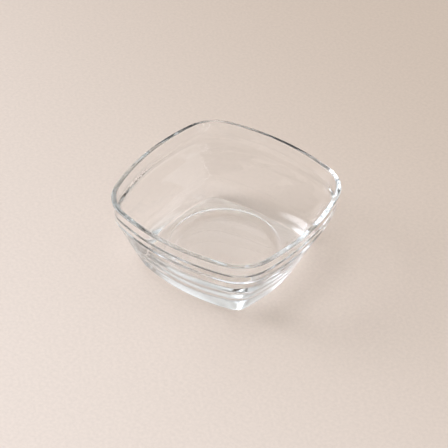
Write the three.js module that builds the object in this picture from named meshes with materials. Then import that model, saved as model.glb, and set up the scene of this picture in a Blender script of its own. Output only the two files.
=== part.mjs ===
// A small square pudding bowl of clear pressed glass, in millimetres, +Z up.
// It is pressed in one shot, so it is one solid: a wall section carried round a bowed-square plan.
// The origin is the middle of the foot, on the surface that the bowl stands on.

import * as THREE from 'three';

// Plan
const RIM_WIDTH = 110; // across the middles of two opposite sides, outside the lip
const RIM_SIDE_RADIUS = 130; // bow of a side at the lip
const RIM_CORNER_RADIUS = 23.6; // corner at the lip
const BASE_WIDTH = 78; // across the middles of two opposite sides, at the foot's sharp edge
const BASE_SIDE_RADIUS = 105; // bow of a side at the foot
const BASE_CORNER_RADIUS = 9; // corner at the foot

// Outside of the wall, from the rim down
const HEIGHT = 46;
const LIP_THICKNESS = 2.7;
const LIP_EDGE_RADIUS = 0.7; // both edges of the lip, with a flat between them
const BAND_BEND_DROP = 7; // rim to the soft bend in the band under the lip
const BAND_BEND_INSET = 1.25; // how far the bend lies inside the lip's outer edge
const BAND_BEND_RADIUS = 6;
const SHOULDER_DROP = 12.8; // rim to the edge where the body starts to taper
const SHOULDER_INSET = 1.65; // how far that edge lies inside the lip's outer edge
const SHOULDER_RADIUS = 1.2;

// Foot
const FOOT_EDGE_RADIUS = 1.2;
const HOLLOW_DIAMETER = 62; // shallow round dish in the underside
const HOLLOW_DEPTH = 0.4;

// Inside of the wall, from the rim down; insets are measured from the lip's inner edge
const LEDGE_DROP = 7.3; // rim to the top of the stacking ledge
const LEDGE_INSET = 0.78;
const LEDGE_HEIGHT = 2; // of the ledge's sloped face
const LEDGE_DEPTH = 0.74; // how far that face slopes in
const LEDGE_RADIUS = 0.9;
const TAPER_DROP = 12.8; // rim to the bend where the inside starts to taper
const TAPER_INSET = 2.2;
const TAPER_RADIUS = 1.5;
const KNEE_DROP = 19; // rim to the soft bend below which the wall gets thicker
const KNEE_INSET = 4.95;
const KNEE_RADIUS = 15;
const FLOOR_THICKNESS = 5; // over the foot
const FLOOR_WALL = 5; // wall measured level, where the floor would meet it
const FLOOR_FILLET = 18; // cove between the wall and the round floor
const DISC_DIAMETER = 63; // of the disc pressed into the floor
const DISC_SINK = 0.18; // how far the disc is pressed in
const DISC_SLOPE = 0.7; // width of the disc's sloped edge

// Facets
const SIDE_STEPS = 8; // on each bowed side
const CORNER_STEPS = 10; // on each corner
const STATION_GAP = 6; // longest straight facet up the wall
const HOLLOW_STEPS = 7; // across the dish, from its middle to its edge
const ARC_TURN = THREE.MathUtils.degToRad(16); // largest turn from facet to facet in the section

const GLASS_COLOUR = 0xe4ecea;
const GLASS_ROUGHNESS = 0.04;
const GLASS_OPACITY = 0.35;

const at = (halfWidth, z) => new THREE.Vector2(halfWidth, z);
const halfRim = RIM_WIDTH / 2;
const halfBase = BASE_WIDTH / 2;

// Radii of the plan's sides and corners at a half width: evenly, and by a power law, from the base to the rim.
const sideSpread = (RIM_SIDE_RADIUS - BASE_SIDE_RADIUS) / (halfRim - halfBase);
const sideRadiusAt = (halfWidth) => BASE_SIDE_RADIUS + sideSpread * (halfWidth - halfBase);
const cornerPower = Math.log(BASE_CORNER_RADIUS / RIM_CORNER_RADIUS) / Math.log(halfBase / halfRim);
const cornerRadiusAt = (halfWidth) => RIM_CORNER_RADIUS * (halfWidth / halfRim) ** cornerPower;

// Plan outline at a half width: four side arcs, joined by tangent corner arcs.
function bowedSquare(halfWidth) {
  const sideRadius = sideRadiusAt(halfWidth);
  const radius = cornerRadiusAt(halfWidth);
  const back = sideRadius - halfWidth; // a side arc's centre lies this far behind the middle
  const corner = (Math.sqrt(2 * (sideRadius - radius) ** 2 - back ** 2) - back) / 2;
  const meet = Math.atan2(corner, corner + back); // direction in which the two arcs touch
  const quarter = [];
  for (let i = 0; i < SIDE_STEPS; i++) {
    const turn = THREE.MathUtils.lerp(-meet, meet, i / SIDE_STEPS);
    quarter.push(at(sideRadius * Math.cos(turn) - back, sideRadius * Math.sin(turn)));
  }
  for (let i = 0; i < CORNER_STEPS; i++) {
    const turn = THREE.MathUtils.lerp(meet, Math.PI / 2 - meet, i / CORNER_STEPS);
    quarter.push(at(corner + radius * Math.cos(turn), corner + radius * Math.sin(turn)));
  }
  const axis = at(0, 0);
  return [0, 1, 2, 3].flatMap((k) => quarter.map((p) => p.clone().rotateAround(axis, (k * Math.PI) / 2)));
}

// Circle whose points lie in the same directions as those of the bowed square, so that the two can be lofted.
function circle(radius) {
  return bowedSquare(halfBase).map((p) => p.setLength(radius));
}

// Points of an arc that starts at a point and turns about a centre.
function arc(start, centre, turn) {
  const steps = Math.ceil(Math.abs(turn) / ARC_TURN) + 1;
  return Array.from({ length: steps + 1 }, (_, k) => start.clone().rotateAround(centre, (turn * k) / steps));
}

// A line of the section with its corners rounded, as one list of points for each corner. A corner is [point]
// or [point, radius], and a fillet stops half way along the shorter of the two lines that it joins.
function rounded(corners) {
  return corners.map(([p, radius], i) => {
    if (!radius) return [p];
    const back = corners[i - 1][0].clone().sub(p);
    const on = corners[i + 1][0].clone().sub(p);
    const turn = Math.PI - back.angleTo(on);
    const reach = Math.min(radius * Math.tan(turn / 2), back.length() / 2, on.length() / 2);
    const side = Math.sign(on.cross(back));
    back.normalize();
    const start = p.clone().addScaledVector(back, reach);
    const across = at(back.y, -back.x).multiplyScalar((side * reach) / Math.tan(turn / 2));
    return arc(start, start.clone().add(across), side * turn);
  });
}

// The same line with points added where a straight stretch is longer than the gap allowed.
function spaced(points) {
  return points.flatMap((p, i) => {
    if (i === 0) return [p];
    const steps = Math.ceil(p.distanceTo(points[i - 1]) / STATION_GAP);
    return Array.from({ length: steps }, (_, k) => points[i - 1].clone().lerp(p, (k + 1) / steps));
  });
}

// Where a line from a point touches a circle, on the left or the right of the line to its centre.
function touch(point, centre, radius, side) {
  const away = point.clone().sub(centre);
  const turn = Math.acos(radius / away.length());
  return centre.clone().addScaledVector(away.normalize(), radius).rotateAround(centre, side * turn);
}

// Outside of the wall: foot, shoulder and band
const footEdge = at(halfBase, 0);
const shoulder = at(halfRim - SHOULDER_INSET, HEIGHT - SHOULDER_DROP);
const bandBend = at(halfRim - BAND_BEND_INSET, HEIGHT - BAND_BEND_DROP);

// Inside of the wall: ledge, start of the taper, knee and floor
const innerEdge = halfRim - LIP_THICKNESS;
const ledge = at(innerEdge - LEDGE_INSET, HEIGHT - LEDGE_DROP);
const ledgeFoot = at(ledge.x - LEDGE_DEPTH, ledge.y - LEDGE_HEIGHT);
const taper = at(innerEdge - TAPER_INSET, HEIGHT - TAPER_DROP);
const knee = at(innerEdge - KNEE_INSET, HEIGHT - KNEE_DROP);
const bodyAtFloor = footEdge.x + ((shoulder.x - footEdge.x) * FLOOR_THICKNESS) / shoulder.y;
const floorEdge = at(bodyAtFloor - FLOOR_WALL, FLOOR_THICKNESS);

// Lip: two edge arcs that the bands touch, and the flat between them
const outerLip = at(halfRim - LIP_EDGE_RADIUS, HEIGHT - LIP_EDGE_RADIUS);
const innerLip = at(innerEdge + LIP_EDGE_RADIUS, HEIGHT - LIP_EDGE_RADIUS);
const lipOutside = touch(bandBend, outerLip, LIP_EDGE_RADIUS, 1);
const lipInside = touch(ledge, innerLip, LIP_EDGE_RADIUS, -1);
const outerTurn = Math.PI / 2 - lipOutside.clone().sub(outerLip).angle();
const innerTurn = lipInside.clone().sub(innerLip).angle() - Math.PI / 2;
const lip = [
  ...arc(lipOutside, outerLip, THREE.MathUtils.euclideanModulo(outerTurn, 2 * Math.PI)),
  ...arc(at(innerLip.x, HEIGHT), innerLip, innerTurn),
];

// Underside, round: a dish of cosine shape out to the flat foot face
const hollowRadius = HOLLOW_DIAMETER / 2;
const footFace = at((hollowRadius + halfBase) / 2, 0);
const dish = Array.from({ length: HOLLOW_STEPS }, (_, k) => {
  const share = (k + 1) / HOLLOW_STEPS;
  return at(hollowRadius * share, (HOLLOW_DEPTH * (1 + Math.cos(Math.PI * share))) / 2);
});

// Outside, bowed square: from the foot face up to the lip
const [, footArc, shoulderArc, bandArc] = rounded([
  [footFace],
  [footEdge, FOOT_EDGE_RADIUS],
  [shoulder, SHOULDER_RADIUS],
  [bandBend, BAND_BEND_RADIUS],
  [lipOutside],
]);
const outside = spaced([...footArc, ...shoulderArc, ...bandArc, lipOutside]).slice(0, -1);

// Inside, bowed square: from the lip down to the cove
const [, ledgeArc, ledgeFootArc, taperArc, kneeArc, cove] = rounded([
  [lipInside],
  [ledge, LEDGE_RADIUS],
  [ledgeFoot, LEDGE_RADIUS],
  [taper, TAPER_RADIUS],
  [knee, KNEE_RADIUS],
  [floorEdge, FLOOR_FILLET],
  [at(0, FLOOR_THICKNESS)],
]);
const innerArcs = [...ledgeArc, ...ledgeFootArc, ...taperArc, ...kneeArc];
const inside = spaced([lipInside, ...innerArcs, cove[0]]).slice(1, -1);

// Cove: its plan turns from the bowed square to a circle, which is the edge of the floor's disc
const discRadius = DISC_DIAMETER / 2;
const discFoot = discRadius - DISC_SLOPE;
const coveEnd = cove[cove.length - 1];
const rise = cove[0].clone().sub(coveEnd);
const coveRadius = rise.lengthSq() / (2 * rise.y); // the floor's fillet, or less on a wall too short for it
const coveHeight = (x) => coveEnd.y + coveRadius - Math.sqrt(coveRadius ** 2 - (x - coveEnd.x) ** 2);
const floorPoint = (x) => at(x, coveHeight(x) - DISC_SINK);
const aroundDisc = cove.filter((p) => p.x > discRadius + DISC_SLOPE);
const inDisc = cove.filter((p) => p.x < discFoot - DISC_SLOPE).map((p) => floorPoint(p.x));
const floor = [...aroundDisc, at(discRadius, coveHeight(discRadius)), floorPoint(discFoot), ...inDisc];
const roundPlan = (p) => {
  const share = 1 - THREE.MathUtils.smoothstep(p.x, discRadius, cove[0].x);
  const round = circle(p.x);
  return bowedSquare(p.x).map((q, k) => q.lerp(round[k], share));
};

// Closed surface through rings of equally many points, with a single point at each end.
function loft(rings, firstPole, lastPole) {
  const count = rings[0].length;
  const positions = [firstPole, ...rings.flat(), lastPole].flatMap((p) => p.toArray());
  const last = 1 + rings.length * count;
  const index = [];
  for (let i = 0; i < count; i++) {
    const next = (i + 1) % count;
    index.push(0, 1 + next, 1 + i);
    for (let k = 0; k < rings.length - 1; k++) {
      const low = 1 + k * count;
      const high = low + count;
      index.push(low + i, low + next, high + next, low + i, high + next, high + i);
    }
    index.push(last - count + i, last - count + next, last);
  }
  const geometry = new THREE.BufferGeometry();
  geometry.setAttribute('position', new THREE.Float32BufferAttribute(positions, 3));
  geometry.setIndex(index);
  geometry.computeVertexNormals();
  return geometry;
}

const raise = (outline, z) => outline.map((p) => new THREE.Vector3(p.x, p.y, z));
const middle = (z) => new THREE.Vector3(0, 0, z);
const rings = [
  ...[...dish, footFace].map((p) => raise(circle(p.x), p.y)),
  ...[...outside, ...lip, ...inside].map((p) => raise(bowedSquare(p.x), p.y)),
  ...floor.map((p) => raise(roundPlan(p), p.y)),
];

const glass = new THREE.MeshStandardMaterial({
  color: GLASS_COLOUR,
  roughness: GLASS_ROUGHNESS,
  metalness: 0,
  transparent: true,
  opacity: GLASS_OPACITY,
});
const bowl = new THREE.Mesh(loft(rings, middle(HOLLOW_DEPTH), middle(FLOOR_THICKNESS - DISC_SINK)), glass);
bowl.name = 'glass_bowl';

const puddingBowl = new THREE.Group();
puddingBowl.add(bowl);

export default puddingBowl;
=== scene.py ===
"""Small square pudding bowl of clear pressed glass, on a pale table in soft window light.

The bowl is one closed surface: a wall section carried round a bowed-square plan. Sizes are in millimetres,
as a glassmaker would give them, and MM turns them into metres.
"""

import math

import bpy
import numpy as np
from mathutils import Matrix, Vector


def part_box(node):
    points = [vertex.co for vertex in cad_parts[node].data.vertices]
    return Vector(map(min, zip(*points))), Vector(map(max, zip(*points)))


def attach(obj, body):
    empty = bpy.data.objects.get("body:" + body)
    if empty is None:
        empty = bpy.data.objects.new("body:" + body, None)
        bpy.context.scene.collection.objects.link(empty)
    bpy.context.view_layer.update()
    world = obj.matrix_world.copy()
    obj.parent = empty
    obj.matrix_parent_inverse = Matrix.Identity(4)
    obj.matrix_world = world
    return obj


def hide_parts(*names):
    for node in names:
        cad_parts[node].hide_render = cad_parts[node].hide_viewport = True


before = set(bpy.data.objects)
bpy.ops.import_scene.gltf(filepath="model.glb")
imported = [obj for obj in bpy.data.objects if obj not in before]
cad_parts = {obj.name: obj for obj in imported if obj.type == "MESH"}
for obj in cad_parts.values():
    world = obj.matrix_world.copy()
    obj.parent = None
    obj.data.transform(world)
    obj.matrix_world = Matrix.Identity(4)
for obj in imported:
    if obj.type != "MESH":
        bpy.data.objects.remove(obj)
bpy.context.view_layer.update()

MM = 0.001
BOWL = "glass_bowl"
BOWL_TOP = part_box(BOWL)[1]
HALF_RIM = BOWL_TOP.x / MM
HEIGHT = BOWL_TOP.z / MM

# Plan of the bowl
RIM_SIDE_RADIUS = 130  # bow of a side at the lip
RIM_CORNER_RADIUS = 23.6
HALF_BASE = 39  # middle of the foot to the sharp edge at the middle of a side
BASE_SIDE_RADIUS = 105
BASE_CORNER_RADIUS = 9

# Outside of the wall, from the rim down
LIP_THICKNESS = 2.7
LIP_EDGE_RADIUS = 0.7  # both edges of the lip, with a flat between them
BAND_BEND_DROP = 7  # rim to the soft bend in the band under the lip
BAND_BEND_INSET = 1.25
BAND_BEND_RADIUS = 6
SHOULDER_DROP = 12.8  # rim to the edge where the body starts to taper
SHOULDER_INSET = 1.65
SHOULDER_RADIUS = 1.2

# Foot
FOOT_EDGE_RADIUS = 1.2
HOLLOW_RADIUS = 31  # shallow round dish in the underside
HOLLOW_DEPTH = 0.4

# Inside of the wall, from the rim down; insets are measured from the lip's inner edge
LEDGE_DROP = 7.3  # rim to the top of the stacking ledge
LEDGE_INSET = 0.78
LEDGE_HEIGHT = 2  # of the ledge's sloped face
LEDGE_DEPTH = 0.74  # how far that face slopes in
LEDGE_RADIUS = 0.9
TAPER_DROP = 12.8  # rim to the bend where the inside starts to taper
TAPER_INSET = 2.2
TAPER_RADIUS = 1.5
KNEE_DROP = 19  # rim to the soft bend below which the wall gets thicker
KNEE_INSET = 4.95
KNEE_RADIUS = 15
FLOOR_THICKNESS = 5  # over the foot
FLOOR_WALL = 5  # wall measured level, where the floor would meet it
FLOOR_FILLET = 18  # cove between the wall and the round floor
DISC_RADIUS = 31.5  # of the disc pressed into the floor
DISC_SINK = 0.18
DISC_SLOPE = 0.7  # width of the disc's sloped edge

# Grid of the glass surface
SIDE_STEPS = 40  # on each bowed side
CORNER_STEPS = 32  # on each corner
LONGEST_STEP = 1.0  # along the section
LARGEST_TURN = math.radians(5)  # in the arcs of the section
HOLLOW_STEPS = 32
COVE_STEPS = 28
DISC_STEPS = 7
FLOOR_STEPS = 32
TINY = 1e-6  # stands in for a width of zero

# Ripple that the mould leaves in the walls, faded out toward lip and foot
RIPPLE_DEPTH = 0.015
RIPPLE_LENGTH = 14  # from wave to wave along the section
RIPPLE_TURNS = 5  # waves that the ripple shifts by on its way round
RIPPLE_MARGIN = 3  # left smooth at lip and foot
RIPPLE_FADE = 8

# Glass
GLASS_COLOUR = "#ffffff"
GLASS_ROUGHNESS = 0.0
GLASS_IOR = 1.52
GLASS_TINT = "#d2dfe2"
GLASS_DENSITY = 5.0
GLASS_BOUNCES = 32
GLOSSY_BOUNCES = 16

# Camera, fitted to the photograph; it aims at a point in the rim's plane
LENS = 136.8
CAMERA_DISTANCE = 900.2
CAMERA_AZIMUTH = math.radians(34.34)
CAMERA_ELEVATION = math.radians(41.04)
CAMERA_ROLL = math.radians(2.19)
AIM_RIGHT = -0.9
AIM_FORWARD = -28.05
FAR_CLIP = 20000

# Table
TABLE_SIZE = 6000
TABLE_GAP = 0.1  # under the foot
TABLE_ROUGHNESS = 0.9
# Painted light and painted shade on the table: its beige is lighter toward the window and darker away from
# it, standing in for the window light's falloff
TABLE_PAINTED_LIT_BEIGE = "#e1d5cc"
TABLE_PAINTED_SHADE_BEIGE = "#beae9f"
PAINTED_LIGHT_BEARING = 215  # toward the side with painted light, in degrees
PAINTED_LIGHT_FADE = 300  # from the middle to full painted light or full painted shade
TABLE_GRAIN = 1.8
GRAIN_DETAIL = 3.0
GRAIN_DEPTH = 0.04
NOISE_LOW = 0.3  # the noise lies mostly between these
NOISE_HIGH = 0.7

# Light: a dim warm room with soft round glows, each even out to its core and faded out at its reach.
# Angles are in degrees, and bearings run anticlockwise from the camera's right.
ROOM_COLOUR = "#ffeed6"
ROOM_STRENGTH = 0.1
WINDOW = dict(bearing=170, elevation=28, core=10, reach=20, strength=7.5, colour="#f6f8ff")
CURTAIN = dict(bearing=140, elevation=20, core=12, reach=40, strength=3.2, colour="#f0f5ff")
BACK_WALL = dict(bearing=80, elevation=20, core=5, reach=30, strength=1.0, colour="#f4f8ff")
SIDE_WALL = dict(bearing=-10, elevation=12, core=10, reach=30, strength=1.3, colour="#fbfcff")
CEILING = dict(bearing=0, elevation=90, core=20, reach=70, strength=0.9, colour="#ffffff")


def linear(code):
    """Linear colour with alpha 1 of an sRGB hex code."""
    channels = np.array([int(code[i:i + 2], 16) for i in (1, 3, 5)]) / 255
    low = channels / 12.92
    high = ((channels + 0.055) / 1.055) ** 2.4
    return (*np.where(channels <= 0.04045, low, high), 1.0)


def add(tree, kind, settings=None, **links):
    """Adds a node, sets its properties and input values, and links the inputs that are given as sockets."""
    node = tree.nodes.new(kind)
    for name, value in (settings or {}).items():
        if name in node.inputs:
            node.inputs[name].default_value = value
        else:
            setattr(node, name, value)
    for name, socket in links.items():
        tree.links.new(node.inputs[name.replace("_", " ")], socket)
    return node


def new_material(name):
    """A material with an empty node tree, and its output node."""
    material = bpy.data.materials.new(name)
    material.use_nodes = True
    tree = material.node_tree
    tree.nodes.clear()
    return material, tree, tree.nodes.new("ShaderNodeOutputMaterial")


def arc(start, centre, turn):
    """Points of an arc: the start point turned about the centre by equal steps up to the whole turn."""
    steps = int(np.ceil(abs(turn) / LARGEST_TURN)) + 1
    angles = np.linspace(0, turn, steps + 1)
    spoke = np.subtract(start, centre)
    along = np.outer(np.cos(angles), spoke)
    across = np.outer(np.sin(angles), [-spoke[1], spoke[0]])
    return np.asarray(centre) + along + across


def rounded(corners):
    """A line of the section with its corners rounded, one array of points for each corner.

    A corner is (point, radius). Its arc touches both lines that meet there, and it stops half way along the
    shorter.
    """
    points = [np.asarray(p, float) for p, _ in corners]
    runs = [points[0][None]]
    for before, p, after, (_, radius) in zip(points, points[1:], points[2:], corners[1:-1]):
        back = before - p
        on = after - p
        back_length = np.linalg.norm(back)
        on_length = np.linalg.norm(on)
        cross = on[0] * back[1] - on[1] * back[0]
        turn = np.pi - abs(np.arctan2(cross, on @ back))
        reach = min(radius * np.tan(turn / 2), back_length / 2, on_length / 2)
        side = np.sign(cross)
        back = back / back_length
        start = p + reach * back
        inward = np.array([back[1], -back[0]]) * side * reach / np.tan(turn / 2)
        runs.append(arc(start, start + inward, side * turn))
    runs.append(points[-1][None])
    return runs


def spaced(points):
    """The same line with points added, so that no step is longer than the longest one allowed."""
    lengths = np.linalg.norm(np.diff(points, axis=0), axis=1)
    steps = np.maximum(np.ceil(lengths / LONGEST_STEP), 1).astype(int)
    start = np.repeat(points[:-1], steps, axis=0)
    span = np.repeat(np.diff(points, axis=0), steps, axis=0)
    first = np.repeat(np.cumsum(steps) - steps, steps)
    share = (np.arange(steps.sum()) - first) / np.repeat(steps, steps)
    return np.vstack([start + span * share[:, None], points[-1:]])


def touch(point, centre, radius, side):
    """Where a line from a point touches a circle, on one side of the line to its centre."""
    away = np.subtract(point, centre)
    angle = np.arctan2(away[1], away[0]) + side * np.arccos(radius / np.linalg.norm(away))
    return np.asarray(centre) + radius * np.array([np.cos(angle), np.sin(angle)])


def smooth(share):
    """Smooth rise from 0 to 1, level at both ends."""
    return share ** 2 * (3 - 2 * share)


def wall_section():
    """Half width, height and roundness of the plan for each station of the closed wall section.

    The line runs from the middle of the hollow under the foot, up the outside, over the lip, down the inside
    and through the cove to the middle of the floor. Roundness is 0 where the plan is the bowed square and 1
    where it is a circle.
    """
    # Corners of the section
    inner_edge = HALF_RIM - LIP_THICKNESS
    foot_edge = np.array([HALF_BASE, 0.0])
    shoulder = np.array([HALF_RIM - SHOULDER_INSET, HEIGHT - SHOULDER_DROP])
    band_bend = np.array([HALF_RIM - BAND_BEND_INSET, HEIGHT - BAND_BEND_DROP])
    ledge = np.array([inner_edge - LEDGE_INSET, HEIGHT - LEDGE_DROP])
    ledge_foot = ledge - [LEDGE_DEPTH, LEDGE_HEIGHT]
    taper = np.array([inner_edge - TAPER_INSET, HEIGHT - TAPER_DROP])
    knee = np.array([inner_edge - KNEE_INSET, HEIGHT - KNEE_DROP])
    outer_lip = np.array([HALF_RIM - LIP_EDGE_RADIUS, HEIGHT - LIP_EDGE_RADIUS])
    inner_lip = np.array([inner_edge + LIP_EDGE_RADIUS, HEIGHT - LIP_EDGE_RADIUS])
    body_at_floor = HALF_BASE + (shoulder[0] - HALF_BASE) * FLOOR_THICKNESS / shoulder[1]
    floor_edge = np.array([body_at_floor - FLOOR_WALL, FLOOR_THICKNESS])
    foot_face = np.array([(HOLLOW_RADIUS + HALF_BASE) / 2, 0.0])

    # Lip: two edge arcs that the bands touch, with a flat between them
    lip_outside = touch(band_bend, outer_lip, LIP_EDGE_RADIUS, 1)
    lip_inside = touch(ledge, inner_lip, LIP_EDGE_RADIUS, -1)
    first = lip_outside - outer_lip
    last = lip_inside - inner_lip
    outer_turn = np.pi / 2 - np.arctan2(first[1], first[0])
    inner_turn = np.arctan2(last[1], last[0]) % (2 * np.pi) - np.pi / 2
    lip = np.vstack([
        arc(lip_outside, outer_lip, outer_turn),
        arc(inner_lip + [0, LIP_EDGE_RADIUS], inner_lip, inner_turn),
    ])

    # Dish and foot face, outside and inside
    reach = np.linspace(0, 1, HOLLOW_STEPS)
    dish = np.stack([HOLLOW_RADIUS * reach, HOLLOW_DEPTH * (1 + np.cos(np.pi * reach)) / 2], axis=1)
    underside = np.vstack([dish, foot_face[None]])
    outside = np.vstack(rounded([
        (foot_face, 0),
        (foot_edge, FOOT_EDGE_RADIUS),
        (shoulder, SHOULDER_RADIUS),
        (band_bend, BAND_BEND_RADIUS),
        (lip_outside, 0),
    ]))
    _, *inner_arcs, cove, _ = rounded([
        (lip_inside, 0),
        (ledge, LEDGE_RADIUS),
        (ledge_foot, LEDGE_RADIUS),
        (taper, TAPER_RADIUS),
        (knee, KNEE_RADIUS),
        (floor_edge, FLOOR_FILLET),
        ((0, FLOOR_THICKNESS), 0),
    ])
    inside = np.vstack([lip[-1:], *inner_arcs, cove[:1]])
    round_foot = spaced(underside)
    square = spaced(np.vstack([outside[1:-1], lip[:-1], inside]))

    # Cove and floor, with the disc pressed in
    x = np.concatenate([
        np.linspace(cove[0, 0], DISC_RADIUS, COVE_STEPS)[1:-1],
        np.linspace(DISC_RADIUS, DISC_RADIUS - DISC_SLOPE, DISC_STEPS),
        np.linspace(DISC_RADIUS - DISC_SLOPE, 0, FLOOR_STEPS)[1:],
    ])
    over = np.maximum(x - cove[-1, 0], 0)
    sunk = np.clip((DISC_RADIUS - x) / DISC_SLOPE, 0, 1)
    z = FLOOR_THICKNESS + FLOOR_FILLET - np.sqrt(FLOOR_FILLET ** 2 - over ** 2) - DISC_SINK * smooth(sunk)

    line = np.vstack([round_foot, square, np.stack([x, z], axis=1)])
    roundness = np.concatenate([
        np.ones(len(round_foot)),
        np.zeros(len(square)),
        smooth(np.clip((cove[0, 0] - x) / (cove[0, 0] - DISC_RADIUS), 0, 1)),
    ])
    return line[:, 0], line[:, 1], roundness


def bowed_square(half_width):
    """Plan at each half width: four side arcs, joined by tangent corner arcs.

    The radius of the sides changes evenly from the base to the rim, and that of the corners by a power law.
    One side and one corner are worked out, and quarter turns give the others.
    """
    width = half_width[:, None]
    power = math.log(BASE_CORNER_RADIUS / RIM_CORNER_RADIUS) / math.log(HALF_BASE / HALF_RIM)
    radius = RIM_CORNER_RADIUS * (width / HALF_RIM) ** power
    share = (width - HALF_BASE) / (HALF_RIM - HALF_BASE)
    side_radius = BASE_SIDE_RADIUS + (RIM_SIDE_RADIUS - BASE_SIDE_RADIUS) * share
    back = side_radius - width
    corner = (np.sqrt(2 * (side_radius - radius) ** 2 - back ** 2) - back) / 2
    meet = np.arctan2(corner, corner + back)
    turn = meet * np.linspace(-1, 1, SIDE_STEPS, endpoint=False)
    bend = meet + (np.pi / 2 - 2 * meet) * np.linspace(0, 1, CORNER_STEPS, endpoint=False)
    x = np.hstack([side_radius * np.cos(turn) - back, corner + radius * np.cos(bend)])
    y = np.hstack([side_radius * np.sin(turn), corner + radius * np.sin(bend)])
    return np.hstack([x, -y, -x, y]), np.hstack([y, x, -y, -x])


def closed_surface(name, x, y, z):
    """Mesh of rings of points, with the first and the last ring shrunk to one point each."""
    rings, count = x.shape
    points = np.stack([x, y, np.broadcast_to(z[:, None], x.shape)], axis=-1) * MM
    inner = points[1:-1].reshape(-1, 3)
    vertices = np.vstack([points[0, 0], inner, points[-1, 0]])
    ring = np.arange(rings - 3)[:, None] * count + 1
    here = np.arange(count)
    beyond = (here + 1) % count
    quads = np.stack([ring + here, ring + beyond, ring + count + beyond, ring + count + here], axis=-1)
    top = len(vertices) - 1
    last = top - count
    first_fan = np.stack([np.zeros(count, int), 1 + beyond, 1 + here], axis=-1)
    last_fan = np.stack([last + here, last + beyond, np.full(count, top)], axis=-1)
    mesh = bpy.data.meshes.new(name)
    faces = [*first_fan.tolist(), *quads.reshape(-1, 4).tolist(), *last_fan.tolist()]
    mesh.from_pydata(vertices, [], faces)
    mesh.shade_smooth()
    piece = bpy.data.objects.new(name, mesh)
    bpy.context.scene.collection.objects.link(piece)
    return piece


def pressed_bowl():
    """The bowl: the wall section carried round the bowed square, which turns into a circle at floor and foot.

    A faint ripple moves the walls out and in: a sine of the length along the section, which turns with the
    bearing.
    """
    half_width, z, roundness = wall_section()
    x, y = bowed_square(np.maximum(half_width, TINY))
    base_x, base_y = bowed_square(np.full(len(z), float(HALF_BASE)))
    length = np.hypot(base_x, base_y)
    share = roundness[:, None]
    x = x + share * (half_width[:, None] * base_x / length - x)
    y = y + share * (half_width[:, None] * base_y / length - y)

    along = np.append(0, np.cumsum(np.hypot(np.diff(half_width), np.diff(z))))
    clear = np.minimum(z, HEIGHT - z) - RIPPLE_MARGIN
    depth = RIPPLE_DEPTH * smooth(np.clip(clear / RIPPLE_FADE, 0, 1)) * (1 - roundness)
    phase = 2 * np.pi * along[:, None] / RIPPLE_LENGTH + RIPPLE_TURNS * np.arctan2(y, x)
    swell = 1 + depth[:, None] * np.sin(phase) / np.maximum(np.hypot(x, y), TINY)
    return closed_surface("pressed_bowl", x * swell, y * swell, z)


def clear_glass():
    """Pressed and fire-polished soda-lime glass: clear and bright, with a faint blue-grey where thick."""
    material, tree, output = new_material("clear_soda_lime_glass")
    glass = add(tree, "ShaderNodeBsdfPrincipled", {
        "Base Color": linear(GLASS_COLOUR),
        "Roughness": GLASS_ROUGHNESS,
        "IOR": GLASS_IOR,
        "Transmission Weight": 1.0,
    })
    depth = add(tree, "ShaderNodeVolumeAbsorption", {"Color": linear(GLASS_TINT), "Density": GLASS_DENSITY})
    tree.links.new(output.inputs["Surface"], glass.outputs["BSDF"])
    tree.links.new(output.inputs["Volume"], depth.outputs["Volume"])
    return material


def direction(bearing, elevation):
    """Unit vector at a bearing counted from the camera's right, anticlockwise from above."""
    angle = CAMERA_AZIMUTH + math.radians(bearing)
    rise = math.radians(elevation)
    return (math.cos(angle) * math.cos(rise), math.sin(angle) * math.cos(rise), math.sin(rise))


def table_paper():
    """Matt paper-covered table top: warm pale beige with a fine grain, and a painted light falloff: lighter
    on the near left, with painted shade toward the far right.
    """
    material, tree, output = new_material("matt_table_top_with_painted_light")
    place = add(tree, "ShaderNodeTexCoord")
    # Painted light falloff: distance along the window's bearing fades the beige from painted shade to painted
    # light
    toward_painted_light = add(tree, "ShaderNodeVectorMath", {"operation": "DOT_PRODUCT"})
    tree.links.new(toward_painted_light.inputs[0], place.outputs["Object"])
    toward_painted_light.inputs[1].default_value = direction(PAINTED_LIGHT_BEARING, 0)
    share = add(tree, "ShaderNodeMapRange", {
        "interpolation_type": "SMOOTHSTEP",
        "From Min": -PAINTED_LIGHT_FADE * MM,
        "From Max": PAINTED_LIGHT_FADE * MM,
    }, Value=toward_painted_light.outputs["Value"])
    fade = add(tree, "ShaderNodeMixRGB", {
        "Color1": linear(TABLE_PAINTED_SHADE_BEIGE),
        "Color2": linear(TABLE_PAINTED_LIT_BEIGE),
    }, Fac=share.outputs["Result"])
    speckle = add(tree, "ShaderNodeTexNoise", {
        "Scale": 1 / (TABLE_GRAIN * MM),
        "Detail": GRAIN_DETAIL,
    }, Vector=place.outputs["Object"])
    grain = add(tree, "ShaderNodeMapRange", {
        "From Min": NOISE_LOW,
        "From Max": NOISE_HIGH,
        "To Min": 1 - GRAIN_DEPTH,
        "To Max": 1 + GRAIN_DEPTH,
    }, Value=speckle.outputs["Fac"])
    tone = add(tree, "ShaderNodeMixRGB", {
        "blend_type": "MULTIPLY",
        "Fac": 1.0,
    }, Color1=fade.outputs["Color"], Color2=grain.outputs["Result"])
    paper = add(tree, "ShaderNodeBsdfPrincipled", {
        "Roughness": TABLE_ROUGHNESS,
    }, Base_Color=tone.outputs["Color"])
    tree.links.new(output.inputs["Surface"], paper.outputs["BSDF"])
    return material


def table():
    """A level table top just under the foot."""
    reach = TABLE_SIZE / 2 * MM
    level = -TABLE_GAP * MM
    corners = [(-reach, -reach, level), (reach, -reach, level), (reach, reach, level), (-reach, reach, level)]
    mesh = bpy.data.meshes.new("table")
    mesh.from_pydata(corners, [], [(0, 1, 2, 3)])
    floor = bpy.data.objects.new("table", mesh)
    bpy.context.scene.collection.objects.link(floor)
    mesh.materials.append(table_paper())


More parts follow.
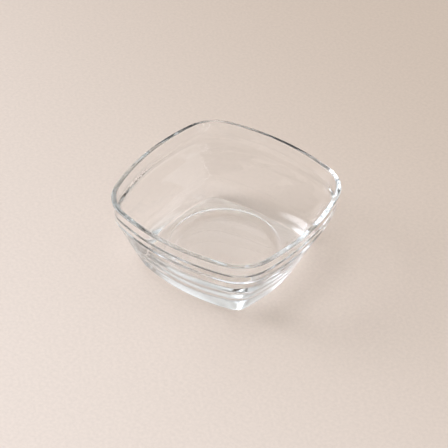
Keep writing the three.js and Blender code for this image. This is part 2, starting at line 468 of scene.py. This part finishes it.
def camera():
    """Camera at the photograph's angle: it aims at a point in the rim's plane and is rolled a little."""
    right = Vector((math.cos(CAMERA_AZIMUTH), math.sin(CAMERA_AZIMUTH), 0))
    forward = Vector((-math.sin(CAMERA_AZIMUTH), math.cos(CAMERA_AZIMUTH), 0))
    aim = right * AIM_RIGHT + forward * AIM_FORWARD + Vector((0, 0, HEIGHT))
    look = forward * math.cos(CAMERA_ELEVATION) - Vector((0, 0, math.sin(CAMERA_ELEVATION)))
    up = right.cross(look)
    across = right * math.cos(CAMERA_ROLL) + up * math.sin(CAMERA_ROLL)
    upright = up * math.cos(CAMERA_ROLL) - right * math.sin(CAMERA_ROLL)
    data = bpy.data.cameras.new("camera")
    data.lens = LENS
    data.clip_end = FAR_CLIP * MM
    eye = bpy.data.objects.new("camera", data)
    turned = Matrix((across, upright, -look)).transposed().to_4x4()
    eye.matrix_world = Matrix.Translation((aim - look * CAMERA_DISTANCE) * MM) @ turned
    bpy.context.scene.collection.objects.link(eye)
    bpy.context.scene.camera = eye


def add_glow(tree, light, bearing, elevation, core, reach, strength, colour):
    """The light with a soft round glow added, even within its core angle and gone at its reach angle."""
    place = add(tree, "ShaderNodeTexCoord")
    facing = add(tree, "ShaderNodeVectorMath", {"operation": "DOT_PRODUCT"})
    tree.links.new(facing.inputs[0], place.outputs["Generated"])
    facing.inputs[1].default_value = direction(bearing, elevation)
    fade = add(tree, "ShaderNodeMapRange", {
        "interpolation_type": "SMOOTHSTEP",
        "From Min": math.cos(math.radians(reach)),
        "From Max": math.cos(math.radians(core)),
        "To Max": strength,
    }, Value=facing.outputs["Value"])
    glow = add(tree, "ShaderNodeBackground", {"Color": linear(colour)}, Strength=fade.outputs["Result"])
    both = tree.nodes.new("ShaderNodeAddShader")
    tree.links.new(both.inputs[0], light)
    tree.links.new(both.inputs[1], glow.outputs["Background"])
    return both.outputs["Shader"]


def room_light():
    """Soft light of a room with one large window on the left."""
    world = bpy.data.worlds.new("room")
    world.use_nodes = True
    tree = world.node_tree
    tree.nodes.clear()
    room = add(tree, "ShaderNodeBackground", {"Color": linear(ROOM_COLOUR), "Strength": ROOM_STRENGTH})
    light = room.outputs["Background"]
    for glow in (WINDOW, CURTAIN, BACK_WALL, SIDE_WALL, CEILING):
        light = add_glow(tree, light, **glow)
    output = tree.nodes.new("ShaderNodeOutputWorld")
    tree.links.new(output.inputs["Surface"], light)
    bpy.context.scene.world = world


bowl = pressed_bowl()
bowl.data.materials.append(clear_glass())
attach(bowl, "root")
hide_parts(BOWL)

table()
camera()
room_light()

scene = bpy.context.scene
scene.view_settings.view_transform = "Standard"

# Light passes many surfaces of the glass, and its glints stay sharp
scene.cycles.max_bounces = GLASS_BOUNCES
scene.cycles.transmission_bounces = GLASS_BOUNCES
scene.cycles.glossy_bounces = GLOSSY_BOUNCES
scene.cycles.blur_glossy = 0
